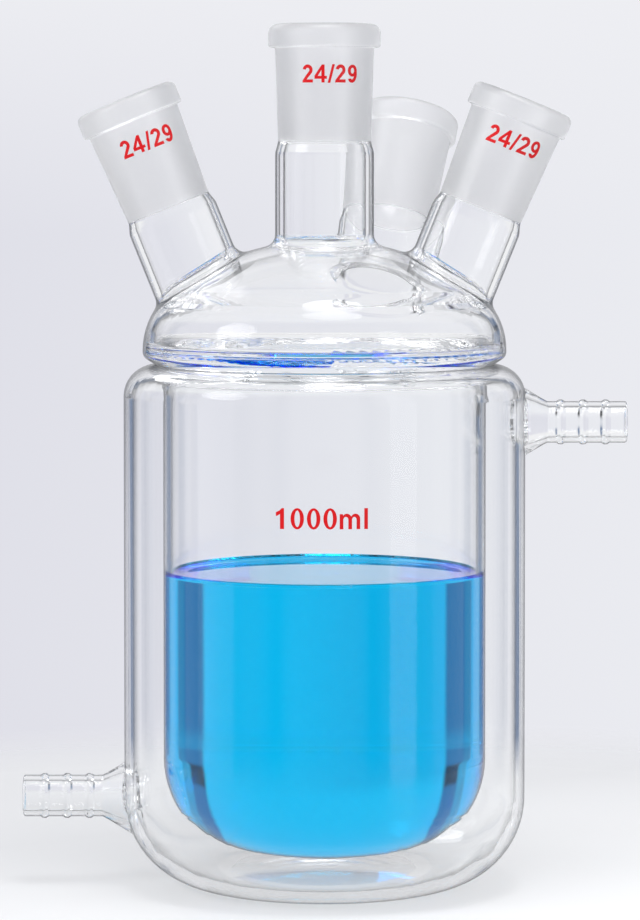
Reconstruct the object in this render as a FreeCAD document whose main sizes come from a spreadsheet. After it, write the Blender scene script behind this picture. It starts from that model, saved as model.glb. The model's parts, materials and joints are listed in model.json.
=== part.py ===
import FreeCAD, Part
import math
import os
import Sketcher
from FreeCAD import Placement, Rotation, Vector
from types import SimpleNamespace

# A jacketed reaction flask of fused glass, with a blue liquid resting in it.
# Millimetres, +Z up. The origin lies on the flask's axis, in the plane of its foot.
# +X points at the upper hose barb, and the rear neck leans towards +Y.

DIMENSIONS = [
    # Inner vessel
    ("vessel_radius", 46.6, "outside of the inner vessel"),
    ("vessel_wall", 2.1, "glass of the inner vessel"),
    ("vessel_lift", 4.2, "clear height of the jacket space under the vessel"),
    ("vessel_crown", 96.0, "outside radius of the dished bottom"),
    ("vessel_knuckle", 27.0, "outside rounding between the dish and the wall"),
    # Heating jacket
    ("jacket_gap", 9.0, "clear width between the vessel and the jacket tube"),
    ("jacket_wall", 2.4, "glass of the jacket tube"),
    ("jacket_corner", 26.0, "outer rounding from the tube to the foot"),
    ("jacket_height", 150.9, "foot to the top of the shoulder"),
    ("shoulder_flat", 0.35, "flat top of the shoulder, between its rounding and the waist"),
    ("seal_flat", 0.2, "flat ceiling of the jacket space, between its roundings"),
    ("floor_wall", 3.0, "glass under the jacket space"),
    ("foot_width", 5.0, "width of the flat ring that the flask stands on"),
    ("dish_depth", 1.2, "height of the dish inside that ring, at its middle"),
    # Dome
    ("dome_overhang", 5.9, "outside of the dome beyond the outside of the vessel"),
    ("dome_wall", 2.9, "glass of the dome"),
    ("dome_crown", 73.5, "outside radius of the top of the dome"),
    ("dome_knuckle", 22.0, "outside rounding between the top and the side"),
    ("dome_inner_knuckle", 14.0, "inside rounding between the top and the side"),
    ("rim_rise", 2.5, "top of the jacket to the lower outer edge of the dome"),
    ("rim_slope", 33.0, "rise of the dome's underside from the waist, degrees"),
    ("rim_rounding", 2.6, "rounding of the lower outer edge"),
    ("rim_straight", 0.2, "straight side of the dome above that rounding"),
    ("ledge_slope", 21.4, "rise of the inner ledge from the waist to the dome, degrees"),
    ("ledge_rounding", 1.4, "rounding where the ledge meets the dome's side"),
    ("ledge_straight", 0.15, "straight inner side of the dome above that rounding"),
    ("waist_rounding", 1.5, "rounding where the vessel's wall meets the ledge"),
    # Ground sockets, standard taper 24/29
    ("joint_bore", 24.0, "diameter at the large end of the ground taper"),
    ("joint_length", 29.0, "length of the ground taper"),
    ("joint_taper", 0.1, "change of diameter for each millimetre of length"),
    ("joint_lip", 3.4, "mouth to the large end of the taper"),
    ("joint_runout", 1.6, "small end of the taper to the step on the outside"),
    ("lip_chamfer", 0.8, "inner edge of the mouth"),
    ("collar_height", 6.8, "height of the collar at the mouth"),
    ("collar_edge", 0.8, "rounding of the collar's lower edge"),
    ("collar_fillet", 0.5, "rounding between the collar and the socket"),
    ("collar_share", 0.5, "most of the collar's stand that either of those takes"),
    ("socket_step", 3.0, "length of the step from the socket to the tube"),
    ("socket_blend", 4.0, "rounding of that step"),
    ("neck_flare", 3.5, "outer rounding where a neck leaves the dome"),
    ("neck_web_share", 0.45, "most of the dome between two necks that one flare takes"),
    ("neck_inner_rounding", 2.0, "inner rounding where a neck opens into the dome"),
    ("neck_root", 11.0, "how far a neck's form reaches in under the dome"),
    ("overrun", 1.0, "how far a passage is cut past an open end"),
    # Centre neck
    ("centre_neck_length", 62.0, "top of the dome to the mouth"),
    ("centre_tube_radius", 14.25, "outside of the tube"),
    ("centre_tube_wall", 2.25, "glass of the tube"),
    ("centre_socket_wall", 2.3, "glass around the large end of the taper"),
    ("centre_socket_end_wall", 2.85, "glass around the small end of the taper"),
    ("centre_collar_stand", 1.9, "how far the collar stands out from the socket"),
    ("centre_collar_rounding", 2.8, "upper edge of the collar"),
    # Side and rear necks
    ("neck_tilt", 22.0, "lean of a neck away from the flask's axis, degrees"),
    ("neck_inset", 15.3, "outside of the dome to the neck's axis, at the dome's surface"),
    ("side_neck_length", 54.5, "from that surface to the mouth, left and right necks"),
    ("rear_neck_length", 50.5, "from that surface to the mouth, rear neck"),
    ("right_azimuth", 0.0, "direction of the right neck, degrees from +X"),
    ("rear_azimuth", 63.0, "direction of the rear neck"),
    ("left_azimuth", 180.0, "direction of the left neck"),
    ("side_tube_radius", 13.4, "outside of the tube"),
    ("side_tube_wall", 2.15, "glass of the tube"),
    ("side_socket_wall", 1.6, "glass around the large end of the taper"),
    ("side_socket_end_wall", 1.85, "glass around the small end of the taper"),
    ("side_collar_stand", 1.5, "how far the collar stands out from the socket"),
    ("side_collar_rounding", 2.1, "upper edge of the collar"),
    # Hose barbs
    ("upper_barb_drop", 16.6, "top of the jacket to the axis of the upper barb"),
    ("lower_barb_height", 25.6, "foot plane to the axis of the lower barb"),
    ("barb_radius", 6.0, "outside of a barb between its ridges"),
    ("barb_wall", 1.5, "glass of a barb"),
    ("barb_tip_rounding", 0.6, "outer edge of a barb's end"),
    ("flare_root", 4.8, "how far a flare and its funnel reach in past the jacket's bore"),
    ("flare_slope", 31.0, "slope of a flare's outside, degrees"),
    ("flare_stand", 1.2, "outside of a flare's thin end beyond the barb"),
    ("flare_length", 4.2, "length of a flare outside the jacket"),
    ("flare_step", 2.2, "length of the step from the flare to the barb"),
    ("flare_blend", 1.2, "rounding of that step"),
    ("port_radius", 9.1, "wide end of the funnel that opens into the jacket space"),
    ("ridge_stand", 0.5, "height of a ridge above the barb"),
    ("ridge_land", 0.9, "length of a ridge's crest"),
    ("ridge_flank", 0.8, "length of a ridge's slope"),
    ("ridge_start", 3.8, "end of the flare's step to the middle of the first ridge"),
    ("ridge_pitch", 6.5, "distance from ridge to ridge"),
    ("barb_end", 6.1, "middle of the last ridge to the end of a barb"),
    # Liquid
    ("liquid_depth", 81.0, "lowest point of the vessel's inside to the surface"),
    ("liquid_clearance", 0.1, "gap between the liquid and the glass"),
]
RIDGE_COUNT = 3
RIGHT_ANGLE = 90
FULL_TURN = 360
EDGE_SAMPLES = 9
TOLERANCE = 0.01
CUBIC_CENTIMETRE = 1000

doc = FreeCAD.newDocument("jacketed_flask")
sheet = doc.addObject("Spreadsheet::Sheet", "dims")
for row, (alias, value, meaning) in enumerate(DIMENSIONS, start=1):
    sheet.set(f"A{row}", alias)
    sheet.set(f"B{row}", str(value))
    sheet.setAlias(f"B{row}", alias)
    sheet.set(f"C{row}", meaning)
doc.recompute()


class Size:
    """A number together with the sheet expression that gives it."""

    def __init__(self, number, text):
        self.number = number
        self.text = text

    @staticmethod
    def of(value):
        return value if isinstance(value, Size) else Size(float(value), str(value))

    def __add__(self, other):
        other = Size.of(other)
        return Size(self.number + other.number, f"({self.text} + {other.text})")

    def __sub__(self, other):
        other = Size.of(other)
        return Size(self.number - other.number, f"({self.text} - {other.text})")

    def __mul__(self, other):
        other = Size.of(other)
        return Size(self.number * other.number, f"({self.text} * {other.text})")

    def __truediv__(self, other):
        other = Size.of(other)
        return Size(self.number / other.number, f"({self.text} / {other.text})")

    def root(self):
        return Size(math.sqrt(self.number), f"sqrt({self.text})")

    def tangent(self):
        return Size(math.tan(math.radians(self.number)), f"tan({self.text} * 1 deg)")

    def cosine(self):
        return Size(math.cos(math.radians(self.number)), f"cos({self.text} * 1 deg)")

    def at_most(self, other):
        return Size(min(self.number, other.number), f"min({self.text}; {other.text})")


DIM = SimpleNamespace(**{
    alias: Size(float(sheet.get(alias)), f"dims.{alias}") for alias, _, _ in DIMENSIONS
})
AXIS = None
NOTHING = Size.of(0)
TOP = 1
BOTTOM = -1


def reach(rounding, slope):
    """Length of an upright wall that a rounding takes up where a slope arrives from below."""
    return rounding / ((slope + RIGHT_ANGLE) / 2).tangent()


def dished_end(radius, crown, knuckle, centre, side):
    """A dished end, from its wall over the knuckle to the crown, whose centre has this height."""
    rise = ((crown - knuckle) * (crown - knuckle) - (radius - knuckle) * (radius - knuckle)).root()
    share = crown / (crown - knuckle)
    return SimpleNamespace(
        rise=rise,
        tip=centre + crown * side,
        wall_end=centre + rise * side,
        meeting=((radius - knuckle) * share, centre + rise * share * side),
        knuckle=dict(arc=knuckle, centre=(radius - knuckle, centre + rise * side)),
        crown=dict(arc=crown, centre=(NOTHING, centre)),
    )


jacket_bore = DIM.vessel_radius + DIM.jacket_gap
jacket_radius = jacket_bore + DIM.jacket_wall
jacket_ceiling = DIM.jacket_height - DIM.jacket_wall
vessel_base = DIM.floor_wall + DIM.vessel_lift

dome_radius = DIM.vessel_radius + DIM.dome_overhang
rim_height = DIM.jacket_height + DIM.rim_rise
waist_radius = dome_radius - DIM.rim_rise / DIM.rim_slope.tangent()
shoulder_edge = waist_radius + DIM.shoulder_flat
dome_side_end = rim_height + reach(DIM.rim_rounding, DIM.rim_slope) + DIM.rim_straight
dome_shape = dished_end(dome_radius, DIM.dome_crown, DIM.dome_knuckle, NOTHING, TOP)
dome_centre = dome_side_end - dome_shape.rise
dome_top = dome_centre + DIM.dome_crown


class Corner:
    """A corner of a profile: its radius and height, a rounding, or an arc that arrives there."""

    def __init__(self, radius, height, rounding=None, arc=None, centre=None):
        self.radius = radius
        self.height = height
        self.rounding = rounding
        self.arc = arc
        self.centre = centre

    def point(self):
        radius = 0 if self.radius is AXIS else self.radius.number
        height = 0 if self.height is AXIS else self.height.number
        return Vector(radius, height, 0)


def arc_between(centre, start, end):
    """The shorter arc, and which of its ends lies at start: 1 if it turns left, otherwise 2."""
    radius = (start - centre).Length
    left = (start - centre).cross(end - centre).z > 0
    first, last = (start, end) if left else (end, start)
    angles = [math.atan2((point - centre).y, (point - centre).x) for point in (first, last)]
    circle = Part.Circle(centre, Vector(0, 0, 1), radius)
    return Part.ArcOfCircle(circle, *angles), 1 if left else 2


def place(sketch, geometry, position, corner):
    """Hold a point of the sketch at a corner's radius and height."""
    for kind, axis, value in (("DistanceX", -2, corner.radius), ("DistanceY", -1, corner.height)):
        if value is AXIS:
            sketch.addConstraint(Sketcher.Constraint("PointOnObject", geometry, position, axis))
            continue
        rule = Sketcher.Constraint(kind, -1, 1, geometry, position, value.number)
        sketch.setExpression(f"Constraints[{sketch.addConstraint(rule)}]", value.text)


def hold_radius(sketch, geometry, value):
    """Give an arc of the sketch its radius."""
    rule = Sketcher.Constraint("Radius", geometry, value.number)
    sketch.setExpression(f"Constraints[{sketch.addConstraint(rule)}]", value.text)


def rounded_ends(before, corner, after):
    """Where a rounded corner starts and ends, and the centre of its arc."""
    here = corner.point()
    back = (before.point() - here).normalize()
    ahead = (after.point() - here).normalize()
    half = back.getAngle(ahead) / 2
    length = corner.rounding.number / math.tan(half)
    middle = (back + ahead).normalize() * (corner.rounding.number / math.sin(half))
    return here + back * length, here + ahead * length, here + middle


def profile(name, corners):
    """A closed sketch in the XZ plane through these corners, in order."""
    sketch = doc.addObject("Sketcher::SketchObject", name)
    sketch.Placement = Placement(Vector(), Rotation(Vector(1, 0, 0), RIGHT_ANGLE))
    count = len(corners)
    ends = []
    for index, corner in enumerate(corners):
        if corner.rounding is None:
            ends.append((corner.point(), corner.point(), None))
        else:
            ends.append(rounded_ends(corners[index - 1], corner, corners[(index + 1) % count]))
    runs = []
    for index in range(count):
        target = corners[(index + 1) % count]
        start, end = ends[index][1], ends[(index + 1) % count][0]
        if target.arc is None:
            run = sketch.addGeometry(Part.LineSegment(start, end), False)
            runs.append((run, 1, 2))
        else:
            middle = Vector(target.centre[0].number, target.centre[1].number, 0)
            arc, first = arc_between(middle, start, end)
            run = sketch.addGeometry(arc, False)
            hold_radius(sketch, run, target.arc)
            runs.append((run, first, 3 - first))
    for index, corner in enumerate(corners):
        run, start, _ = runs[index]
        previous, _, end = runs[index - 1]
        if corner.rounding is None:
            sketch.addConstraint(Sketcher.Constraint("Coincident", previous, end, run, start))
            place(sketch, run, start, corner)
            continue
        entry, leave, middle = ends[index]
        arc, first = arc_between(middle, entry, leave)
        bend = sketch.addGeometry(arc, False)
        sketch.addConstraint(Sketcher.Constraint("Tangent", previous, end, bend, first))
        sketch.addConstraint(Sketcher.Constraint("Tangent", bend, 3 - first, run, start))
        hold_radius(sketch, bend, corner.rounding)
        mark = sketch.addGeometry(Part.Point(corner.point()), True)
        sketch.addConstraint(Sketcher.Constraint("PointOnObject", mark, 1, previous))
        sketch.addConstraint(Sketcher.Constraint("PointOnObject", mark, 1, run))
        place(sketch, mark, 1, corner)
    return sketch


def turned(name, corners, placement=None):
    """A solid of revolution about Z, with an optional placement expression."""
    item = doc.addObject("Part::Revolution", name)
    item.Source = profile(f"{name}_profile", corners)
    item.Axis = Vector(0, 0, 1)
    item.Base = Vector(0, 0, 0)
    item.Angle = FULL_TURN
    item.Solid = True
    if placement is not None:
        item.setExpression("Placement", placement)
    return item


def fused(name, pieces):
    """One form made of several."""
    item = doc.addObject("Part::MultiFuse", name)
    item.Shapes = pieces
    return item


def cut(name, base, tool):
    """A form with another taken out of it."""
    item = doc.addObject("Part::Cut", name)
    item.Base = base
    item.Tool = tool
    return item


def vessel_end(inset):
    """The vessel's dished bottom, drawn in by an inset."""
    return dished_end(
        DIM.vessel_radius - inset,
        DIM.vessel_crown - inset,
        DIM.vessel_knuckle - inset,
        vessel_base + DIM.vessel_crown,
        BOTTOM,
    )


def vessel_bottom(inset):
    """Corners from the vessel's lowest point up to its wall, drawn in by an inset."""
    end = vessel_end(inset)
    return [
        Corner(AXIS, end.tip),
        Corner(*end.meeting, **end.crown),
        Corner(DIM.vessel_radius - inset, end.wall_end, **end.knuckle),
    ]


def dome_end(inset, knuckle):
    """The dome's dished top, drawn in by an inset."""
    return dished_end(dome_radius - inset, DIM.dome_crown - inset, knuckle, dome_centre, TOP)


def dome_crest(inset, knuckle):
    """Corners from the dome's side up to its highest point, drawn in by an inset."""
    end = dome_end(inset, knuckle)
    return [
        Corner(dome_radius - inset, end.wall_end),
        Corner(*end.meeting, **end.knuckle),
        Corner(AXIS, end.tip, **end.crown),
    ]


def body_form():
    """Jacket and dome as one solid form, with the groove of the waist between them."""
    dish_radius = jacket_radius - DIM.jacket_corner - DIM.foot_width
    dish_ball = (dish_radius * dish_radius + DIM.dish_depth * DIM.dish_depth) / (DIM.dish_depth * 2)
    return turned("body_form", [
        Corner(AXIS, DIM.dish_depth),
        Corner(dish_radius, AXIS, arc=dish_ball, centre=(NOTHING, DIM.dish_depth - dish_ball)),
        Corner(jacket_radius, AXIS, rounding=DIM.jacket_corner),
        Corner(jacket_radius, DIM.jacket_height, rounding=jacket_radius - shoulder_edge),
        Corner(waist_radius, DIM.jacket_height),
        Corner(dome_radius, rim_height, rounding=DIM.rim_rounding),
        *dome_crest(NOTHING, DIM.dome_knuckle),
    ])


def inner_space():
    """The space inside the vessel and the dome, which meet at a ledge in the waist."""
    vessel_bore = DIM.vessel_radius - DIM.vessel_wall
    dome_bore = dome_radius - DIM.dome_wall
    side_foot = dome_end(DIM.dome_wall, DIM.dome_inner_knuckle).wall_end - DIM.ledge_straight
    ledge_top = side_foot - reach(DIM.ledge_rounding, DIM.ledge_slope)
    ledge_foot = ledge_top - (dome_bore - vessel_bore) * DIM.ledge_slope.tangent()
    return turned("inner_space", [
        *vessel_bottom(DIM.vessel_wall),
        Corner(vessel_bore, ledge_foot, rounding=DIM.waist_rounding),
        Corner(dome_bore, ledge_top, rounding=DIM.ledge_rounding),
        *dome_crest(DIM.dome_wall, DIM.dome_inner_knuckle),
    ])


def jacket_space():
    """The closed space between the vessel and the jacket."""
    end = vessel_end(NOTHING)
    seal_rounding = shoulder_edge - DIM.seal_flat - DIM.vessel_radius
    return turned("jacket_space", [
        Corner(AXIS, DIM.floor_wall),
        Corner(jacket_bore, DIM.floor_wall, rounding=DIM.jacket_corner - DIM.jacket_wall),
        Corner(jacket_bore, jacket_ceiling, rounding=jacket_bore - shoulder_edge),
        Corner(DIM.vessel_radius, jacket_ceiling, rounding=seal_rounding),
        Corner(DIM.vessel_radius, end.wall_end),
        Corner(*end.meeting, **end.knuckle),
        Corner(AXIS, end.tip, **end.crown),
    ])


class Neck:
    """A neck with its socket, drawn along Z from a root that lies inside the dome."""

    def __init__(self, name, kind, length, placement):
        large = DIM.joint_bore / 2
        small = large - DIM.joint_length * DIM.joint_taper / 2
        self.name = name
        self.large = large
        self.small = small
        self.tube_radius = getattr(DIM, f"{kind}_tube_radius")
        self.bore = self.tube_radius - getattr(DIM, f"{kind}_tube_wall")
        self.socket_end = small + getattr(DIM, f"{kind}_socket_end_wall")
        self.socket_top = large + getattr(DIM, f"{kind}_socket_wall")
        self.stand = getattr(DIM, f"{kind}_collar_stand")
        self.collar_rounding = getattr(DIM, f"{kind}_collar_rounding")
        self.mouth = DIM.neck_root + length
        self.taper_top = self.mouth - DIM.joint_lip
        self.taper_end = self.taper_top - DIM.joint_length
        self.socket_foot = self.taper_end - DIM.joint_runout
        self.tube_end = self.socket_foot - DIM.socket_step
        self.placement = placement

    def form(self):
        collar = self.socket_top + self.stand
        collar_foot = self.mouth - DIM.collar_height
        most = self.stand * DIM.collar_share
        return turned(f"{self.name}_form", [
            Corner(AXIS, AXIS),
            Corner(self.tube_radius, AXIS),
            Corner(self.tube_radius, self.tube_end, rounding=DIM.socket_blend),
            Corner(self.socket_end, self.socket_foot, rounding=DIM.socket_blend),
            Corner(self.socket_top, collar_foot, rounding=DIM.collar_fillet.at_most(most)),
            Corner(collar, collar_foot, rounding=DIM.collar_edge.at_most(most)),
            Corner(collar, self.mouth, rounding=self.collar_rounding),
            Corner(AXIS, self.mouth),
        ], self.placement)

    def passage(self):
        return turned(f"{self.name}_passage", [
            Corner(AXIS, AXIS),
            Corner(self.bore, AXIS),
            Corner(self.bore, self.tube_end),
            Corner(self.small, self.taper_end),
            Corner(self.large, self.taper_top),
            Corner(self.large, self.mouth - DIM.lip_chamfer),
            Corner(self.large + DIM.lip_chamfer + DIM.overrun, self.mouth + DIM.overrun),
            Corner(AXIS, self.mouth + DIM.overrun),
        ], self.placement)

    def root_edges(self, item, radius):
        """Numbers of the edges where a tube of this radius leaves the dome in a form."""
        middle = (DIM.neck_root.number + self.socket_foot.number) / 2
        inverse = item.Document.getObject(f"{self.name}_form").Placement.inverse()
        found = []
        for number, edge in enumerate(item.Shape.Edges, start=1):
            if edge.Degenerated or isinstance(edge.Curve, Part.Line):
                continue
            points = [inverse.multVec(point) for point in edge.discretize(EDGE_SAMPLES)]
            on_tube = all(abs(math.hypot(point.x, point.y) - radius.number) < TOLERANCE for point in points)
            if on_tube and all(point.z < middle for point in points):
                found.append(number)
        return found


def centre_neck():
    """The neck on the flask's axis."""
    foot = dome_top - DIM.neck_root
    place_text = f"placement(vector(0; 0; {foot.text}); rotation(vector(0; 0; 1); 0))"
    return Neck("centre_neck", "centre", DIM.centre_neck_length, place_text)


def leaning_neck(name, azimuth, length):
    """A neck whose axis crosses the dome's surface at its own distance from the flask's axis."""
    offset = dome_radius - DIM.neck_inset
    seat = dome_centre + (DIM.dome_crown * DIM.dome_crown - offset * offset).root()
    place_text = (
        f"placement(vector(0; 0; 0); rotation(vector(0; 0; 1); {azimuth.text}))"
        f" * placement(vector({offset.text}; 0; {seat.text});"
        f" rotation(vector(0; 1; 0); {DIM.neck_tilt.text}))"
        f" * placement(vector(0; 0; -{DIM.neck_root.text}); rotation(vector(0; 0; 1); 0))"
    )
    return Neck(name, "side", length, place_text)


def neck_flare():
    """The outer rounding of the necks, held to its share of the dome between two of them."""
    offset = dome_radius - DIM.neck_inset
    web = offset - DIM.centre_tube_radius - DIM.side_tube_radius / DIM.neck_tilt.cosine()
    return DIM.neck_flare.at_most(web * DIM.neck_web_share)


def barb_ridges(first):
    """Corners of the ridges that hold a hose, from the first one's middle outwards."""
    crest = DIM.barb_radius + DIM.ridge_stand
    half = DIM.ridge_land / 2
    corners = []
    for number in range(RIDGE_COUNT):
        middle = first + DIM.ridge_pitch * number
        corners += [
            Corner(DIM.barb_radius, middle - half - DIM.ridge_flank),
            Corner(crest, middle - half),
            Corner(crest, middle + half),
            Corner(DIM.barb_radius, middle + half + DIM.ridge_flank),
        ]
    return corners


def barb(name, height, lean):
    """A hose barb's form and its passage, both drawn along Z from the flask's axis."""
    place_text = f"placement(vector(0; 0; {height.text}); rotation(vector(0; 1; 0); {lean}))"
    bore = DIM.barb_radius - DIM.barb_wall
    root = jacket_bore - DIM.flare_root
    flare_end = jacket_radius + DIM.flare_length
    flare_radius = DIM.barb_radius + DIM.flare_stand
    root_radius = flare_radius + (flare_end - root) * DIM.flare_slope.tangent()
    barb_start = flare_end + DIM.flare_step
    first_ridge = barb_start + DIM.ridge_start
    end = first_ridge + DIM.ridge_pitch * (RIDGE_COUNT - 1) + DIM.barb_end
    form = turned(f"{name}_form", [
        Corner(AXIS, root),
        Corner(root_radius, root),
        Corner(flare_radius, flare_end, rounding=DIM.flare_blend),
        Corner(DIM.barb_radius, barb_start, rounding=DIM.flare_blend),
        *barb_ridges(first_ridge),
        Corner(DIM.barb_radius, end, rounding=DIM.barb_tip_rounding),
        Corner(AXIS, end),
    ], place_text)
    passage = turned(f"{name}_passage", [
        Corner(AXIS, root),
        Corner(DIM.port_radius, root),
        Corner(bore, barb_start, rounding=DIM.flare_blend),
        Corner(bore, end + DIM.overrun),
        Corner(AXIS, end + DIM.overrun),
    ], place_text)
    return form, passage


def rounded_roots(name, item, rounding, outside):
    """Round the edges where the necks leave the dome, on the outside form or the inner space."""
    doc.recompute()
    numbers = []
    for neck in necks:
        numbers += neck.root_edges(item, neck.tube_radius if outside else neck.bore)
    fillet = doc.addObject("Part::Fillet", name)
    fillet.Base = item
    fillet.Edges = [(number, rounding.number, rounding.number) for number in numbers]
    return fillet


necks = [
    centre_neck(),
    leaning_neck("right_neck", DIM.right_azimuth, DIM.side_neck_length),
    leaning_neck("rear_neck", DIM.rear_azimuth, DIM.rear_neck_length),
    leaning_neck("left_neck", DIM.left_azimuth, DIM.side_neck_length),
]
upper_form, upper_passage = barb("upper_barb", DIM.jacket_height - DIM.upper_barb_drop, RIGHT_ANGLE)
lower_form, lower_passage = barb("lower_barb", DIM.lower_barb_height, -RIGHT_ANGLE)

necked_form = fused("necked_form", [body_form()] + [neck.form() for neck in necks])
outside = rounded_roots("flared_form", necked_form, neck_flare(), True)
outer_form = fused("outer_form", [outside, upper_form, lower_form])

necked_space = fused("necked_space", [inner_space()] + [neck.passage() for neck in necks])
inside = rounded_roots("vessel_space", necked_space, DIM.neck_inner_rounding, False)
heating_space = fused("heating_space", [jacket_space(), upper_passage, lower_passage])

shell = cut("shell", outer_form, inside)
flask = cut("jacketed_flask", shell, heating_space)

gap = DIM.vessel_wall + DIM.liquid_clearance
liquid_level = vessel_base + DIM.vessel_wall + DIM.liquid_depth
liquid = turned("blue_liquid", [
    *vessel_bottom(gap),
    Corner(DIM.vessel_radius - gap, liquid_level),
    Corner(AXIS, liquid_level),
])

doc.recompute()
for item in doc.Objects:
    if "Invalid" in item.State or "Error" in item.State:
        raise RuntimeError(f"{item.Label} did not compute: {item.State}")

os.makedirs("parts", exist_ok=True)
for part in (flask, liquid):
    shape = part.Shape
    if shape.isNull() or not shape.isValid() or len(shape.Solids) != 1:
        raise RuntimeError(f"{part.Label} is not one valid solid")
    shape.exportStep(f"parts/{part.Label}.step")
    volume = shape.Volume / CUBIC_CENTIMETRE
    print(f"{part.Label}: {volume:.1f} cubic centimetres, {len(shape.Faces)} faces")
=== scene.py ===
# %% [markdown]
# # A jacketed reaction flask of clear glass
#
# A reaction flask is where a chemist stirs, warms and feeds a liquid. This one is blown from borosilicate
# glass in one piece: a vessel inside a wider jacket tube, a low dome on top, four necks with ground sockets
# and two hose barbs that let warm liquid run through the jacket. A blue liquid stands in the vessel.
#
# The solid glass is already modelled and packed, so this lesson starts from it and never changes its shape.
# What is left to make is how it looks: glass that bends light, ground sockets that scatter it, the liquid
# with its curved edge, the printed size marks, and a pale studio around them.

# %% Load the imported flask
import json
import math

import bpy
from mathutils import Matrix, Vector


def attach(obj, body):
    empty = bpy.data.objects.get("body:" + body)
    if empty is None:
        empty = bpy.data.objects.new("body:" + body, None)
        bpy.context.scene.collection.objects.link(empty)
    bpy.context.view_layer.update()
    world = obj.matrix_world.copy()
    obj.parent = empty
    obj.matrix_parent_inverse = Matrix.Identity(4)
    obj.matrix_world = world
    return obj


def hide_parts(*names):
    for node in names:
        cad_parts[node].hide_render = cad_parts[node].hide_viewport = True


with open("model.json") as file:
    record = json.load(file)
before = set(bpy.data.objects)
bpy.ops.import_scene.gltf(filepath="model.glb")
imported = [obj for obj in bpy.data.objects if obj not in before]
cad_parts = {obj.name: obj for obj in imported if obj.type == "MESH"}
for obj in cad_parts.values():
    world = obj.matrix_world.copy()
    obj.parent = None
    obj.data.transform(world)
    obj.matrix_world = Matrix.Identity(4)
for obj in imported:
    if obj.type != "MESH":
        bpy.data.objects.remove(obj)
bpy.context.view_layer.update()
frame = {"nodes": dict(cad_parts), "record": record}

MM = 0.001
flask = frame["nodes"]["jacketed_flask"]
mounts = {mount["name"]: mount for mount in frame["record"]["mounts"]}
scene = bpy.context.scene

# %% [markdown]
# ## The camera
#
# A product photograph is usually taken from far away with a long lens, because that keeps the sides of a
# tall vessel parallel. The distance was found from the ellipses: the nearer the camera, the rounder the
# liquid's surface looks below it. The lens is then as long as the flask's width in the picture asks.
# A small shift lifts the flask in the frame and leaves its verticals upright.

# %% Set the camera
FRAME_HEIGHT = 920  # pixels on the long side of the picture
FOCAL_PIXELS = 4160
CAMERA_PLACE = (-1.3 * MM, -1200 * MM, 212.5 * MM)
CAMERA_PITCH = math.radians(3)
LIFT_PIXELS = 91
VIEW_REACH = 20  # metres

camera = bpy.data.objects.new("camera", bpy.data.cameras.new("camera"))
scene.collection.objects.link(camera)
scene.camera = camera
camera.location = CAMERA_PLACE
camera.rotation_euler = (math.pi / 2 - CAMERA_PITCH, 0, 0)
camera.data.lens = camera.data.sensor_width * FOCAL_PIXELS / FRAME_HEIGHT
camera.data.shift_y = -LIFT_PIXELS / FRAME_HEIGHT
camera.data.clip_end = VIEW_REACH
print("lens", round(camera.data.lens), "mm, seen from", -CAMERA_PLACE[1], "m")

# %% [markdown]
# ## Sums with sockets
#
# Materials and Geometry Nodes are both drawn as nodes. Long sums are easier to read as sums, so one small
# class wraps a socket and lets Python's own signs add the Math nodes. A second class adds every other
# node, with its settings first and then the values or links of its sockets.

# %% A socket that can be used in sums
class Wire:
    """One output of a node tree. Adding or multiplying it adds a Math node."""

    def __init__(self, tree, socket):
        self.tree, self.socket = tree, socket

    def math(self, operation, *values):
        return self.tree.wire("ShaderNodeMath", {"operation": operation}, dict(enumerate(values)))

    def __add__(self, other):
        return self.math("ADD", self, other)

    def __sub__(self, other):
        return self.math("SUBTRACT", self, other)

    def __rsub__(self, other):
        return self.math("SUBTRACT", other, self)

    def __mul__(self, other):
        return self.math("MULTIPLY", self, other)

    def __truediv__(self, other):
        return self.math("DIVIDE", self, other)

    def __lt__(self, other):
        return self.math("LESS_THAN", self, other)


class Tree:
    """Adds nodes to one node tree."""

    def __init__(self, tree):
        self.tree = tree

    def node(self, kind, settings=None, sockets=None):
        made = self.tree.nodes.new(kind)
        for name, value in (settings or {}).items():
            setattr(made, name, value)
        for name, value in (sockets or {}).items():
            found = made.inputs[name] if isinstance(name, int) else shown(made.inputs, name)
            if isinstance(value, Wire):
                self.tree.links.new(value.socket, found)
            else:
                found.default_value = value
        return made

    def wire(self, kind, settings=None, sockets=None, output=0):
        made = self.node(kind, settings, sockets)
        found = made.outputs[output] if isinstance(output, int) else shown(made.outputs, output)
        return Wire(self, found)

    def vector(self, operation, *values, output="Vector"):
        return self.wire("ShaderNodeVectorMath", {"operation": operation}, dict(enumerate(values)), output)


def shown(sockets, name):
    """The socket of that name which the node's settings leave in use."""
    return next(socket for socket in sockets if socket.enabled and socket.name == name)


print("sums with sockets are ready")

# %% [markdown]
# ## Clear glass and ground glass
#
# Borosilicate glass is clear and polished by the flame, so its surface is smooth and it bends light about
# one and a half times. It is only a little green or blue, and only at its edges. The sockets are different:
# they are ground with grit so that a cone seals in them, and ground glass scatters light and looks white.
#
# Painting the two on separate meshes would leave a join. Instead one material mixes both, and a mask says
# where: within a socket's length below each mouth, measured along that neck's own axis.

# %% A mask for the necks
SOCKETS = ("centre_socket", "right_socket", "left_socket", "rear_socket")
NECK_REACH = 17.5 * MM


def ramp(value, start, end):
    """0 before start and 1 after end, straight in between."""
    return value.tree.wire(
        "ShaderNodeMapRange",
        {"clamp": True},
        {"Value": value, "From Min": start, "From Max": end, "To Min": 0.0, "To Max": 1.0},
    )


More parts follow.
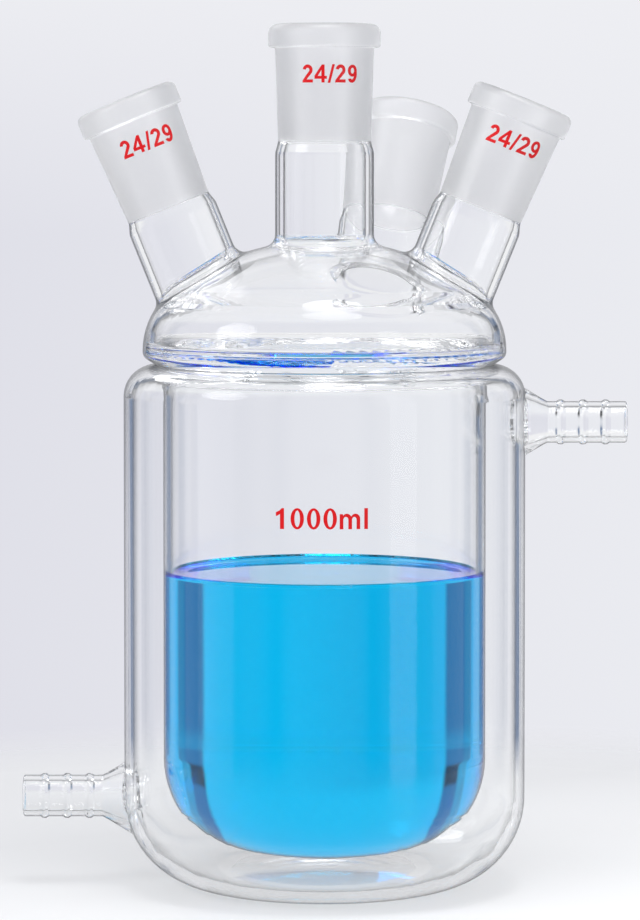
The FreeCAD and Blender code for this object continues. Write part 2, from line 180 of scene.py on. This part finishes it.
def neck_mask(tree, length, edge):
    """1 on the necks down to that length below their mouths, and 0 on the rest of the glass."""
    place = tree.wire("ShaderNodeTexCoord", output="Object")
    total = 0
    for name in SOCKETS:
        mouth, axis = mounts[name]["pos_m"], mounts[name]["axis"]
        down = tree.vector("SUBTRACT", mouth, place)
        depth = tree.vector("DOT_PRODUCT", down, axis, output="Value")
        along = tree.wire("ShaderNodeVectorMath", {"operation": "SCALE"}, {0: axis, "Scale": depth})
        across = tree.vector("LENGTH", tree.vector("SUBTRACT", down, along), output="Value")
        total = (1 - ramp(depth, length - edge, length)) * (across < NECK_REACH) + total
    return total.math("MINIMUM", total, 1.0)


def new_finish(name):
    material = bpy.data.materials.new(name)
    material.use_nodes = True
    material.node_tree.nodes.clear()
    return material, Tree(material.node_tree)


print("the mask finds", len(SOCKETS), "necks, each within", NECK_REACH / MM, "mm of its axis")

# %% The clear and the ground finish
GLASS_BEND = 1.47
GLASS_TINT = (0.995, 0.998, 0.998, 1)
GROUND_TINT = (0.95, 0.951, 0.955, 1)
GROUND_ROUGHNESS = 0.45
GROUND_LENGTH, GROUND_EDGE = 34 * MM, 0.5 * MM
GLARE = (0.16, 0.16, 0.16, 1)  # the share of head-on reflection that is left

glass, nodes = new_finish("clear_and_ground_glass")
polished = nodes.wire(
    "ShaderNodeBsdfPrincipled",
    sockets={
        "Base Color": GLASS_TINT, "Roughness": 0.0, "IOR": GLASS_BEND, "Transmission Weight": 1.0,
        "Specular Tint": GLARE,
    },
)
ground = nodes.wire(
    "ShaderNodeBsdfPrincipled",
    sockets={
        "Base Color": GROUND_TINT, "Roughness": GROUND_ROUGHNESS, "IOR": GLASS_BEND,
        "Transmission Weight": 1.0,
    },
)
ground_share = neck_mask(nodes, GROUND_LENGTH, GROUND_EDGE)
print("the glass bends light", GLASS_BEND, "times and is ground over", GROUND_LENGTH / MM, "mm a socket")

# %% [markdown]
# ## Painted dark edges and little glare
#
# Real glassware is outlined by thin dark lines. Here they are painted shade: the material mixes in a dark,
# opaque grey where its outer face turns away from the eye. A thin tube turns away within a millimetre, too
# fine a line to see, so there the painted line starts sooner: on the necks, on the hose barbs, and a little
# sooner on the shoulder and the dome. The mask that finds the ground sockets finds the necks too, with
# another length.
#
# Polished glass also throws light straight back, and that lies over the liquid as a grey veil. Product
# pictures are taken through a polarising filter that takes most of it away. Here the tint of the specular
# reflection does that, and it leaves the streaks near the edges as they are.

# %% Where the painted dark line is drawn
EDGE_TURN = (0.68, 0.92)  # of a face's turn away from the eye, where 1 is edge-on
PAINTED_OUTLINE_SHARE = 0.9
EARLY_TURN = 0.14  # how much sooner the line starts on a thin tube
NECK_LENGTH, NECK_EDGE = 64 * MM, 3 * MM
BARBS_FROM = (60 * MM, 62 * MM)  # out from the flask's axis
SHOULDER_FROM, SHOULDER_TO = (100 * MM, 145 * MM), (168 * MM, 174 * MM)  # up from the bench
SHOULDER_SHARE = 0.3

facing = nodes.wire("ShaderNodeLayerWeight", sockets={"Blend": 0.5}, output="Facing")
inside = nodes.wire("ShaderNodeNewGeometry", output="Backfacing")
spot = nodes.node("ShaderNodeSeparateXYZ", sockets={0: nodes.wire("ShaderNodeTexCoord", output="Object")})
sideways = facing.math("ABSOLUTE", Wire(nodes, spot.outputs["X"]))
height = Wire(nodes, spot.outputs["Z"])
tubes = facing.math("MAXIMUM", neck_mask(nodes, NECK_LENGTH, NECK_EDGE), ramp(sideways, *BARBS_FROM))
shoulder = ramp(height, *SHOULDER_FROM) * (1 - ramp(height, *SHOULDER_TO)) * SHOULDER_SHARE
thin = facing.math("MAXIMUM", tubes, shoulder)
# The painted shade grows from nothing to its full share as the face turns edge-on.
turned_away = ramp(facing + thin * EARLY_TURN, *EDGE_TURN)
painted_outline_share = turned_away * turned_away * PAINTED_OUTLINE_SHARE * (1 - inside)
print("the line is full at a turn of", EDGE_TURN[1], "and on a thin tube", EARLY_TURN, "sooner")

# %% The whole glass material
# The dark grey is painted shade, mixed into the glass along its edges.
PAINTED_OUTLINE_GREY = (0.03, 0.033, 0.037, 1)
PAINTED_OUTLINE_ROUGHNESS = 0.3

edge = nodes.wire("ShaderNodeBsdfPrincipled", sockets={"Base Color": PAINTED_OUTLINE_GREY, "Roughness": PAINTED_OUTLINE_ROUGHNESS})
with_painted_outline = nodes.wire("ShaderNodeMixShader", sockets={0: painted_outline_share, 1: polished, 2: edge})
mixed = nodes.wire("ShaderNodeMixShader", sockets={0: ground_share, 1: with_painted_outline, 2: ground})
nodes.node("ShaderNodeOutputMaterial", sockets={"Surface": mixed})
for slot in flask.material_slots:
    slot.material = glass
print("the glass material has", len(nodes.tree.nodes), "nodes")

# %% [markdown]
# ## The blue liquid
#
# A liquid takes the shape of its vessel and climbs a little where it touches the glass, in a curve called
# the meniscus. That curve catches the light as a thin line around the surface, and without it the liquid
# looks like a plug.
#
# A turned shape follows a rule, so Geometry Nodes make it: a grid of points is bent round the axis, the
# lower rows follow the vessel's inner wall, and the upper rows make the surface with its climbing edge.
# The liquid is 0.05 mm larger than the bore. With a gap of air, light would be thrown back at the wall and
# the liquid would look smaller than it is. Where the two overlap, light passes as it does from glass to
# liquid.

# %% The vessel's inner wall
BORE_RADIUS = 44.5 * MM
CROWN_RADIUS = 93.9 * MM
CROWN_CENTRE = 103.2 * MM
KNUCKLE_RADIUS = 24.9 * MM
KNUCKLE_CENTRE = (19.6 * MM, 37.04 * MM)
LIQUID_LEVEL = 90.3 * MM
OVERLAP = 0.05 * MM
MERGE_REACH = 0.001 * MM
CROWN_STEPS, KNUCKLE_STEPS, WALL_STEPS = 14, 26, 8


def vessel_wall():
    """Points (radius, height) up the inner wall, from the lowest point to the liquid's level."""
    lean = math.atan2(KNUCKLE_CENTRE[0], CROWN_CENTRE - KNUCKLE_CENTRE[1])
    crown, knuckle = CROWN_RADIUS + OVERLAP, KNUCKLE_RADIUS + OVERLAP
    points = []
    for step in range(CROWN_STEPS):
        turn = lean * step / CROWN_STEPS
        points.append((crown * math.sin(turn), CROWN_CENTRE - crown * math.cos(turn)))
    for step in range(KNUCKLE_STEPS):
        turn = lean + (math.pi / 2 - lean) * step / KNUCKLE_STEPS
        across, down = knuckle * math.sin(turn), knuckle * math.cos(turn)
        points.append((KNUCKLE_CENTRE[0] + across, KNUCKLE_CENTRE[1] - down))
    for step in range(WALL_STEPS + 1):
        rise = (LIQUID_LEVEL - KNUCKLE_CENTRE[1]) * step / WALL_STEPS
        points.append((BORE_RADIUS + OVERLAP, KNUCKLE_CENTRE[1] + rise))
    return points


wall = vessel_wall()
print(len(wall), "points up the wall, lowest at", round(wall[0][1] / MM, 2), "mm")

# %% A tree that turns the wall into a liquid
def input_socket(tree, name, kind, default):
    made = tree.interface.new_socket(name=name, in_out="INPUT", socket_type=kind)
    if default is not None:
        made.default_value = default
    return made.identifier


def new_tree(name, inputs):
    """A Geometry Nodes tree with named inputs. Returns it, its wires by name and its input identifiers."""
    group = bpy.data.node_groups.new(name, "GeometryNodeTree")
    group.interface.new_socket(name="Geometry", in_out="OUTPUT", socket_type="NodeSocketGeometry")
    names = {"Geometry": input_socket(group, "Geometry", "NodeSocketGeometry", None)}
    for label, (kind, default) in inputs.items():
        names[label] = input_socket(group, label, kind, default)
    tree = Tree(group)
    start = tree.node("NodeGroupInput")
    wires = {socket.name: Wire(tree, socket) for socket in start.outputs if socket.name}
    return tree, wires, names


def finish_tree(tree, geometry, material):
    """Ends a tree as every one here ends: real geometry with its material."""
    real = tree.wire("GeometryNodeRealizeInstances", sockets={"Geometry": geometry})
    coated = tree.wire("GeometryNodeSetMaterial", sockets={"Geometry": real, "Material": material})
    tree.node("NodeGroupOutput", sockets={"Geometry": coated})


FLOAT, INT, VECTOR = "NodeSocketFloat", "NodeSocketInt", "NodeSocketVector"
turning, wires, TURNING_NAMES = new_tree(
    "turn_a_liquid",
    {
        "Wall points": (INT, 8),
        "Surface rings": (INT, 24),
        "Segments": (INT, 64),
        "Surface radius": (FLOAT, 0.04),
        "Level": (FLOAT, 0.09),
        "Climb": (FLOAT, 0.002),
        "Climb reach": (FLOAT, 0.002),
    },
)
rows = wires["Wall points"] + wires["Surface rings"]
grid = turning.wire(
    "GeometryNodeMeshGrid",
    sockets={"Size X": 1.0, "Size Y": 1.0, "Vertices X": wires["Segments"] + 1, "Vertices Y": rows},
)
number = turning.wire("GeometryNodeInputIndex")
row = number.math("MODULO", number, rows)
turn = number.math("FLOOR", number / rows) / wires["Segments"] * (2 * math.pi)
profile = turning.wire(
    "GeometryNodeSampleIndex",
    {"data_type": "FLOAT_VECTOR"},
    {"Geometry": wires["Geometry"], "Value": turning.wire("GeometryNodeInputPosition"), "Index": row},
)
split = turning.node("ShaderNodeSeparateXYZ", sockets={0: profile})
ring = (row - wires["Wall points"] + 1) / wires["Surface rings"]
inward = number.math("POWER", number.math("MAXIMUM", ring, 0.0), 2.0)
surface_radius = wires["Surface radius"] * (1 - inward)
from_wall = (surface_radius - wires["Surface radius"]) / wires["Climb reach"]
surface_height = wires["Level"] + wires["Climb"] * number.math("EXPONENT", from_wall)
on_wall = row < wires["Wall points"]
radius = on_wall * Wire(turning, split.outputs["X"]) + (1 - on_wall) * surface_radius
height = on_wall * Wire(turning, split.outputs["Z"]) + (1 - on_wall) * surface_height
place = turning.wire(
    "ShaderNodeCombineXYZ",
    sockets={
        "X": radius * turn.math("COSINE", turn),
        "Y": radius * turn.math("SINE", turn),
        "Z": height,
    },
)
moved = turning.wire("GeometryNodeSetPosition", sockets={"Geometry": grid, "Position": place})
closed = turning.wire("GeometryNodeMergeByDistance", sockets={"Geometry": moved, "Distance": MERGE_REACH})
print("the turning tree has", len(turning.tree.nodes), "nodes")

# %% The liquid's colour
LIQUID_BEND = 1.33
LIQUID_BLUE = (0.0, 0.58, 1.0, 1)

blue, nodes = new_finish("clear_blue_liquid")
water = nodes.wire(
    "ShaderNodeBsdfPrincipled",
    sockets={
        "Base Color": LIQUID_BLUE, "Roughness": 0.0, "IOR": LIQUID_BEND, "Transmission Weight": 1.0,
        "Specular Tint": GLARE,
    },
)
nodes.node("ShaderNodeOutputMaterial", sockets={"Surface": water})
finish_tree(turning, closed, blue)
print("the liquid bends light", LIQUID_BEND, "times")

# %% Run a mesh through a tree
def through_nodes(name, start, tree, names, values):
    """Runs a mesh through a tree and keeps the plain mesh that comes out."""
    made = bpy.data.objects.new(name + "_maker", start)
    scene.collection.objects.link(made)
    modifier = made.modifiers.new("maker", "NODES")
    modifier.node_group = tree.tree
    for label, value in values.items():
        modifier[names[label]] = value
    ready = made.evaluated_get(bpy.context.evaluated_depsgraph_get())
    mesh = bpy.data.meshes.new_from_object(ready)
    bpy.data.objects.remove(made)
    mesh.name = name
    piece = bpy.data.objects.new(name, mesh)
    scene.collection.objects.link(piece)
    return piece


print("a tree's result can be kept as a plain mesh")

# %% The liquid
SEGMENTS = 192
SURFACE_RINGS = 40
CLIMB = 1.6 * MM
CLIMB_REACH = 1.3 * MM

line = bpy.data.meshes.new("vessel_wall_line")
line.from_pydata(
    [(out, 0, up) for out, up in wall],
    [(step, step + 1) for step in range(len(wall) - 1)],
    [],
)
liquid = through_nodes(
    "blue_liquid_with_meniscus",
    line,
    turning,
    TURNING_NAMES,
    {
        "Wall points": len(wall),
        "Surface rings": SURFACE_RINGS,
        "Segments": SEGMENTS,
        "Surface radius": BORE_RADIUS + OVERLAP,
        "Level": LIQUID_LEVEL,
        "Climb": CLIMB,
        "Climb reach": CLIMB_REACH,
    },
)
liquid.data.shade_smooth()
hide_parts("blue_liquid")
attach(liquid, "root")
print("the liquid has", len(liquid.data.polygons), "faces")

# %% [markdown]
# ## The printed size marks
#
# Glassware carries its sizes in fired enamel: how much the vessel holds, and the size of each ground
# socket, here 24 mm across and 29 mm long. The letters are plain even strokes, as a printing screen makes
# them. Each one is drawn by its outline, with arcs for the round parts and a second loop for a hole, in
# units of the letter's height.
#
# The ink is a thin layer that follows the round wall, so flat lettering would float or cut in. A tree cuts
# the flat lettering small, wraps it round the axis of its tube or cone, where the distance across becomes
# a turn round the axis, and then moves it to its neck.

# %% The outlines of the letters
def arc(x, y, across, up, start, end, steps=16):
    """Points of an ellipse round (x, y), from the start angle to the end angle in degrees."""
    turns = (math.radians(start + (end - start) * step / steps) for step in range(steps + 1))
    return [(x + across * math.cos(turn), y + up * math.sin(turn)) for turn in turns]


STROKE = 0.19  # of the letter's height
LETTERS = {  # for each: how far on the next letter starts, and its loops
    "0": (0.777, [
        arc(0.388, 0.5, 0.32, 0.51, 0, 345, 23),
        arc(0.388, 0.5, 0.32 - STROKE, 0.395, 0, 345, 23),
    ]),
    "1": (0.777, [[
        (0.535, 0), (0.535, 1), (0.42, 1), (0.32, 0.89), (0.14, 0.8), (0.14, 0.61), (0.24, 0.65),
        (0.34, 0.72), (0.34, 0),
    ]]),
    "2": (0.777, [
        arc(0.375, 0.705, 0.3, 0.305, 172, -38)
        + [(0.31, 0.175), (0.69, 0.175), (0.69, 0), (0.035, 0), (0.07, 0.14)]
        + arc(0.375, 0.705, 0.3 - STROKE, 0.305 - STROKE, -38, 172)
    ]),
    "4": (0.777, [
        [(0.415, 0), (0.6, 0), (0.6, 0.205), (0.73, 0.205), (0.73, 0.37), (0.6, 0.37), (0.6, 1),
         (0.44, 1), (0.01, 0.38), (0.01, 0.205), (0.415, 0.205)],
        [(0.415, 0.37), (0.2, 0.37), (0.415, 0.7)],
    ]),
    "9": (0.777, [
        arc(0.365, 0.665, 0.31, 0.335, -55, -360, 24)
        + arc(0.34, 0.5, 0.345, 0.51, 10, -90)
        + arc(0.34, 0.24, 0.26, 0.25, -95, -172, 8)
        + arc(0.34, 0.24, 0.26 - STROKE, 0.25 - STROKE, -172, -90, 8)
        + arc(0.34, 0.5, 0.345 - STROKE, 0.51 - STROKE, -85, -27),
        arc(0.365, 0.665, 0.31 - STROKE, 0.335 - STROKE * 0.9, 0, 345, 23),
    ]),
    "/": (0.39, [[(0, -0.02), (0.15, -0.02), (0.42, 1.02), (0.27, 1.02)]]),
    "m": (1.16, [
        [(0.06, 0), (0.06, 0.725), (0.215, 0.725), (0.22, 0.65)]
        + arc(0.4, 0.5, 0.225, 0.245, 135, 28, 10)
        + arc(0.81, 0.5, 0.225, 0.245, 147, 0, 12)
        + [(1.035, 0), (0.86, 0)]
        + arc(0.7525, 0.45, 0.1075, 0.14, 0, 180, 12)
        + [(0.645, 0), (0.47, 0)]
        + arc(0.3525, 0.45, 0.1175, 0.14, 0, 180, 12)
        + [(0.235, 0)]
    ]),
    "l": (0.32, [[(0.07, 0), (0.245, 0), (0.245, 1), (0.07, 1)]]),
}
INK_THICKNESS = 0.05 * MM


def lettering(words, height, width):
    """A closed flat mesh of the words, centred, that high and that wide in all."""
    curve = bpy.data.curves.new("lettering", "CURVE")
    curve.dimensions, curve.fill_mode, curve.extrude = "2D", "BOTH", INK_THICKNESS / 2
    start = 0
    for letter in words:
        step, loops = LETTERS[letter]
        for loop in loops:
            spline = curve.splines.new("POLY")
            spline.points.add(len(loop) - 1)
            for point, (x, y) in zip(spline.points, loop):
                point.co = (start + x, y, 0, 1)
            spline.use_cyclic_u = True
        start += step
    drawn = bpy.data.objects.new("lettering", curve)
    scene.collection.objects.link(drawn)
    mesh = bpy.data.meshes.new_from_object(drawn.evaluated_get(bpy.context.evaluated_depsgraph_get()))
    bpy.data.objects.remove(drawn)
    xs, ys = [v.co.x for v in mesh.vertices], [v.co.y for v in mesh.vertices]
    middle = Vector(((min(xs) + max(xs)) / 2, (min(ys) + max(ys)) / 2, 0))
    sizes = (width / (max(xs) - min(xs)), height / (max(ys) - min(ys)), 1, 1)
    mesh.transform(Matrix.Diagonal(sizes) @ Matrix.Translation(-middle))
    return mesh


print("the ink is", INK_THICKNESS / MM, "mm thick, and", len(LETTERS), "letters are drawn")

# %% A tree that wraps lettering round a tube
wrapping, wires, WRAPPING_NAMES = new_tree(
    "wrap_a_mark",
    {
        "Radius": (FLOAT, 0.05),
        "Narrowing": (FLOAT, 0.0),
        "Cuts": (INT, 2),
        "Tube place": (VECTOR, (0, 0, 0)),
        "Tube turn": (VECTOR, (0, 0, 0)),
    },
)
closed = wrapping.wire(
    "GeometryNodeMergeByDistance", sockets={"Geometry": wires["Geometry"], "Distance": MERGE_REACH}
)
triangles = wrapping.wire("GeometryNodeTriangulate", sockets={"Mesh": closed})
small = wrapping.wire("GeometryNodeSubdivideMesh", sockets={"Mesh": triangles, "Level": wires["Cuts"]})
flat = wrapping.node("ShaderNodeSeparateXYZ", sockets={0: wrapping.wire("GeometryNodeInputPosition")})
across, up = Wire(wrapping, flat.outputs["X"]), Wire(wrapping, flat.outputs["Y"])
outward = wires["Radius"] + wires["Narrowing"] * up + Wire(wrapping, flat.outputs["Z"])
turn = across / wires["Radius"]
bent = wrapping.wire(
    "ShaderNodeCombineXYZ",
    sockets={
        "X": outward * turn.math("SINE", turn),
        "Y": outward * turn.math("COSINE", turn) * -1,
        "Z": up,
    },
)
wrapped = wrapping.wire("GeometryNodeSetPosition", sockets={"Geometry": small, "Position": bent})
turned = wrapping.wire(
    "GeometryNodeTransform",
    sockets={"Geometry": wrapped, "Translation": wires["Tube place"], "Rotation": wires["Tube turn"]},
)
print("the wrapping tree has", len(wrapping.tree.nodes), "nodes")

# %% The red enamel
ENAMEL_RED = (0.46, 0.001, 0.003, 1)
ENAMEL_ROUGHNESS, ENAMEL_GLOSS = 0.5, 0.2

enamel, nodes = new_finish("fired_red_enamel")
ink = nodes.wire(
    "ShaderNodeBsdfPrincipled",
    sockets={
        "Base Color": ENAMEL_RED, "Roughness": ENAMEL_ROUGHNESS, "Specular IOR Level": ENAMEL_GLOSS,
    },
)
nodes.node("ShaderNodeOutputMaterial", sockets={"Surface": ink})
finish_tree(wrapping, turned, enamel)
print("the enamel is matt, with roughness", ENAMEL_ROUGHNESS)

# %% How a mark is printed
INK_LIFT = 0.015 * MM
LOOK_FROM = 100 * MM


def tube_radius(place, axis):
    """How far the glass stands out from the axis at that place, on the camera's side."""
    hit, point, _, _ = flask.ray_cast(place + Vector((0, -LOOK_FROM, 0)), Vector((0, 1, 0)))
    assert hit, "no glass under the mark"
    offset = point - place
    return (offset - axis * offset.dot(axis)).length


def print_mark(name, words, size, place, axis, along, across, narrowing):
    """Prints words on the camera's side of a tube: along its axis from place, and across round the tube."""
    axis = Vector(axis)
    centre = Vector(place) + axis * along
    mesh = lettering(words, *size)
    mesh.transform(Matrix.Translation((across, 0, 0)))
    piece = through_nodes(
        name,
        mesh,
        wrapping,
        WRAPPING_NAMES,
        {
            "Radius": tube_radius(centre, axis) + INK_LIFT + INK_THICKNESS / 2,
            "Narrowing": narrowing,
            "Tube place": centre,
            "Tube turn": (0, math.atan2(axis.x, axis.z), 0),
        },
    )
    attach(piece, "root")
    millimetres = [round(x / MM, 1) for x in centre]
    print(name, "is printed at", millimetres, "with", len(piece.data.polygons), "faces")


print("a mark stands", INK_LIFT / MM, "mm clear of the glass")

# %% Print the marks
CAPACITY_SIZE, SOCKET_SIZE = (5.9 * MM, 25.6 * MM), (5.3 * MM, 16.6 * MM)  # height and width
CAPACITY_PLACE = (111.3 * MM, -0.8 * MM)  # up from the bench, and across
SOCKET_TAPER = 0.03
SOCKET_PLACES = {  # along the neck from its mouth, and across
    "centre": (-14.5 * MM, 1.7 * MM),
    "left": (-13.8 * MM, 2.1 * MM),
    "right": (-12.7 * MM, 1.4 * MM),
}
print_mark("capacity_mark", "1000ml", CAPACITY_SIZE, (0, 0, 0), (0, 0, 1), *CAPACITY_PLACE, 0)
for side, where in SOCKET_PLACES.items():
    mouth = mounts[f"{side}_socket"]
    print_mark(
        f"{side}_socket_mark", "24/29", SOCKET_SIZE, mouth["pos_m"], mouth["axis"], *where, SOCKET_TAPER
    )
print(len(SOCKET_PLACES) + 1, "marks are printed")

# %% [markdown]
# ## The floor
#
# The bench is pale and matt. Lit by lamps alone, a white floor is too bright in front of the flask before
# it is bright enough behind it. So the floor is a middle grey with a soft glow of its own, stronger towards
# the front right, and the lamps can be as strong as the glass needs. It fades out a short way behind the
# flask, as a paper roll does where it curves up.

# %% The floor's finish
FLOOR_FADE = (240 * MM, 340 * MM)
FLOOR_PALE = (0.22, 0.222, 0.226, 1)
FLOOR_ROUGHNESS, FLOOR_GLOSS = 0.45, 0.1
GLOW_BACK, GLOW_FRONT = (0.42, 0.423, 0.437, 1), (0.63, 0.633, 0.643, 1)
GLOW_WAY = (-0.8, 1, 0)
GLOW_SPREAD = (140 * MM, -80 * MM)


def mixed_colour(tree, factor, first, second):
    return tree.wire(
        "ShaderNodeMix", {"data_type": "RGBA"}, {"Factor": factor, "A": first, "B": second}, output="Result"
    )


pale, nodes = new_finish("pale_floor")
spot = nodes.wire("ShaderNodeTexCoord", output="Object")
far_left = nodes.vector("DOT_PRODUCT", spot, GLOW_WAY, output="Value")
glow = mixed_colour(nodes, ramp(far_left, *GLOW_SPREAD), GLOW_BACK, GLOW_FRONT)
matt = nodes.wire(
    "ShaderNodeBsdfPrincipled",
    sockets={
        "Base Color": FLOOR_PALE, "Roughness": FLOOR_ROUGHNESS, "Specular IOR Level": FLOOR_GLOSS,
        "Emission Color": glow, "Emission Strength": 1.0,
    },
)
fade = ramp(nodes.vector("LENGTH", spot, output="Value"), *FLOOR_FADE)
open_air = nodes.wire("ShaderNodeBsdfTransparent")
floor_mix = nodes.wire("ShaderNodeMixShader", sockets={0: fade, 1: matt, 2: open_air})
nodes.node("ShaderNodeOutputMaterial", sockets={"Surface": floor_mix})
print("the floor fades out from", FLOOR_FADE[0] / MM, "to", FLOOR_FADE[1] / MM, "mm from the flask")

# %% The floor
FLOOR_REACH = 450 * MM
FLOOR_CORNERS = 96

floor_mesh = bpy.data.meshes.new("floor")
turns = [step * math.tau / FLOOR_CORNERS for step in range(FLOOR_CORNERS)]
floor_mesh.from_pydata(
    [(FLOOR_REACH * math.cos(turn), FLOOR_REACH * math.sin(turn), 0) for turn in turns],
    [],
    [tuple(range(FLOOR_CORNERS))],
)
floor_mesh.materials.append(pale)
floor = bpy.data.objects.new("floor", floor_mesh)
scene.collection.objects.link(floor)
print("the floor is a disc of", FLOOR_REACH / MM, "mm radius")

# %% [markdown]
# ## The room
#
# Glass shows what surrounds it more than what it is. Where the room behind it is pale, its body looks
# clear. Near every edge the wall bends light by twenty-five to thirty degrees, so a dark strip of room
# standing that far round draws a thin dark line inside the edge, and a grey shade beyond it makes the sides
# of the liquid a deeper blue.
#
# Strip and shade come back every quarter turn, on both sides of each pale screen, so that the flask looks
# right from every side. The liquid is a strong lens and shows them broad, and it looks at the low part of
# the room. There the strip is paler and wider and the shade darker. The room needs no objects: the world's
# colour follows the direction alone.

# %% The colours of the room
SCREEN_LEFT = (0.745, 0.748, 0.812, 1)
SCREEN_RIGHT = (0.823, 0.831, 0.875, 1)
SCREEN_TOP = (0.86, 0.865, 0.9, 1)
STRIP_LEVEL, STRIP_BESIDE = (0.02, 0.022, 0.03, 1), (0.18, 0.24, 0.36, 1)
SHADE_HIGH, SHADE_LOW = (0.52, 0.525, 0.54, 1), (0.34, 0.36, 0.42, 1)
GROUND_WHITE = (0.88, 0.884, 0.9, 1)
CEILING = (0.55, 0.56, 0.58, 1)
print("the strip is", round(SCREEN_RIGHT[1] / STRIP_LEVEL[1]), "times darker than the screen")

# %% Strip and shade by the bearing
# Heights are the upward part of a direction, from -1 straight down to 1 straight up.
LOW_PART, HIGH_PART = (-0.03, -0.05), (0.05, 0.08)
EIGHTH_TURN = math.pi / 4
STRIP_START = math.radians(24.5)
STRIP_END, LOW_STRIP_END = math.radians(31), math.radians(34)
SHADE_END, LOW_SHADE_END = math.radians(36), math.radians(39)
STRIP_BLUR = math.radians(1.5)

world = bpy.data.worlds.new("studio_room")
scene.world = world
world.use_nodes = True
world.node_tree.nodes.clear()
room = Tree(world.node_tree)
look = room.node("ShaderNodeSeparateXYZ", sockets={0: room.wire("ShaderNodeTexCoord", output="Generated")})
east, north, up = (Wire(room, look.outputs[axis]) for axis in "XYZ")
bearing = east.math("ARCTAN2", east, north)
from_screen = east.math("ABSOLUTE", east.math("WRAP", bearing, EIGHTH_TURN, -EIGHTH_TURN))
low = ramp(up, *LOW_PART)
beside = up.math("MAXIMUM", low, ramp(up, *HIGH_PART))
past_start = ramp(from_screen, STRIP_START, STRIP_START + STRIP_BLUR)
past_strip = ramp(from_screen - low * (LOW_STRIP_END - STRIP_END), STRIP_END, STRIP_END + STRIP_BLUR)
past_shade = ramp(from_screen - low * (LOW_SHADE_END - SHADE_END), SHADE_END, SHADE_END + STRIP_BLUR)
strip = mixed_colour(room, beside, STRIP_LEVEL, STRIP_BESIDE)
shade = mixed_colour(room, low, SHADE_HIGH, SHADE_LOW)
dark = mixed_colour(room, past_strip, strip, shade)
in_dark = past_start * (1 - past_shade)
print("dark strips from", round(math.degrees(STRIP_START), 1), "to", round(math.degrees(STRIP_END)), "degrees")

# %% Screens, ground and ceiling
PICTURE_HALF = math.sin(math.radians(4.5))  # how far to each side the picture reaches
PICTURE_TOP = (-0.02, 0.05)
GROUND_PART = (-0.185, -0.21)
CEILING_PART = (0.55, 0.8)

level = mixed_colour(room, ramp(east, -PICTURE_HALF, PICTURE_HALF), SCREEN_LEFT, SCREEN_RIGHT)
screens = mixed_colour(room, ramp(up, *PICTURE_TOP), level, SCREEN_TOP)
walls = mixed_colour(room, in_dark, screens, dark)
lower = mixed_colour(room, ramp(up, *GROUND_PART), walls, GROUND_WHITE)
whole = mixed_colour(room, ramp(up, *CEILING_PART), lower, CEILING)
air = room.wire("ShaderNodeBackground", sockets={"Color": whole, "Strength": 1.0})
room.node("ShaderNodeOutputWorld", sockets={"Surface": air})
print("the room has", len(room.tree.nodes), "nodes")

# %% [markdown]
# ## The lights
#
# Two tall soft lights stand at the sides and leave upright streaks on the round wall. They are seen in
# reflections and light the floor, but not through the glass, because from behind they would fill it with
# white. A round light overhead and one at the upper left leave the two soft spots on the dome, and a small
# one behind brightens the necks.
#
# Light caught inside the glass wall is thrown from face to face many times before it gets out. That is how
# the blue of the liquid climbs to the waist, so the light is followed over many bounces.

# %% The lights
AIM = (0, 0, 0.13)
BOUNCES = 160
LIGHTS = {  # bearing in degrees, distance, height, the light's width and height, watts, seen through glass
    "left_softbox": (-63, 1.0, 0.2, 0.42, 1.2, 4, False),
    "right_softbox": (44, 1.0, 0.2, 0.28, 1.2, 6, False),
    "top_softbox": (15, 0.24, 1.15, 0.46, 0.46, 9, True),
    "round_softbox": (-63, 0.9, 0.65, 0.46, 0.46, 5, True),
    "rear_key": (-150, 0.9, 0.75, 0.3, 0.3, 0.8, True),
}


def softbox(name, bearing, distance, height, width, tall, power, through_glass):
    """A soft light, bearing degrees round from the camera's side (left is negative), round or tall."""
    data = bpy.data.lights.new(name, "AREA")
    data.shape = "ELLIPSE" if width == tall else "RECTANGLE"
    data.size, data.size_y, data.energy = width, tall, power
    made = bpy.data.objects.new(name, data)
    angle = math.radians(bearing)
    made.location = (distance * math.sin(angle), -distance * math.cos(angle), height)
    made.rotation_euler = (Vector(AIM) - made.location).to_track_quat("-Z", "Y").to_euler()
    made.visible_transmission = through_glass
    scene.collection.objects.link(made)


for name, setting in LIGHTS.items():
    softbox(name, *setting)
scene.view_settings.view_transform = "Standard"
scene.cycles.max_bounces = BOUNCES
scene.cycles.transmission_bounces = BOUNCES
scene.cycles.glossy_bounces = BOUNCES
print(len(LIGHTS), "lights are set")
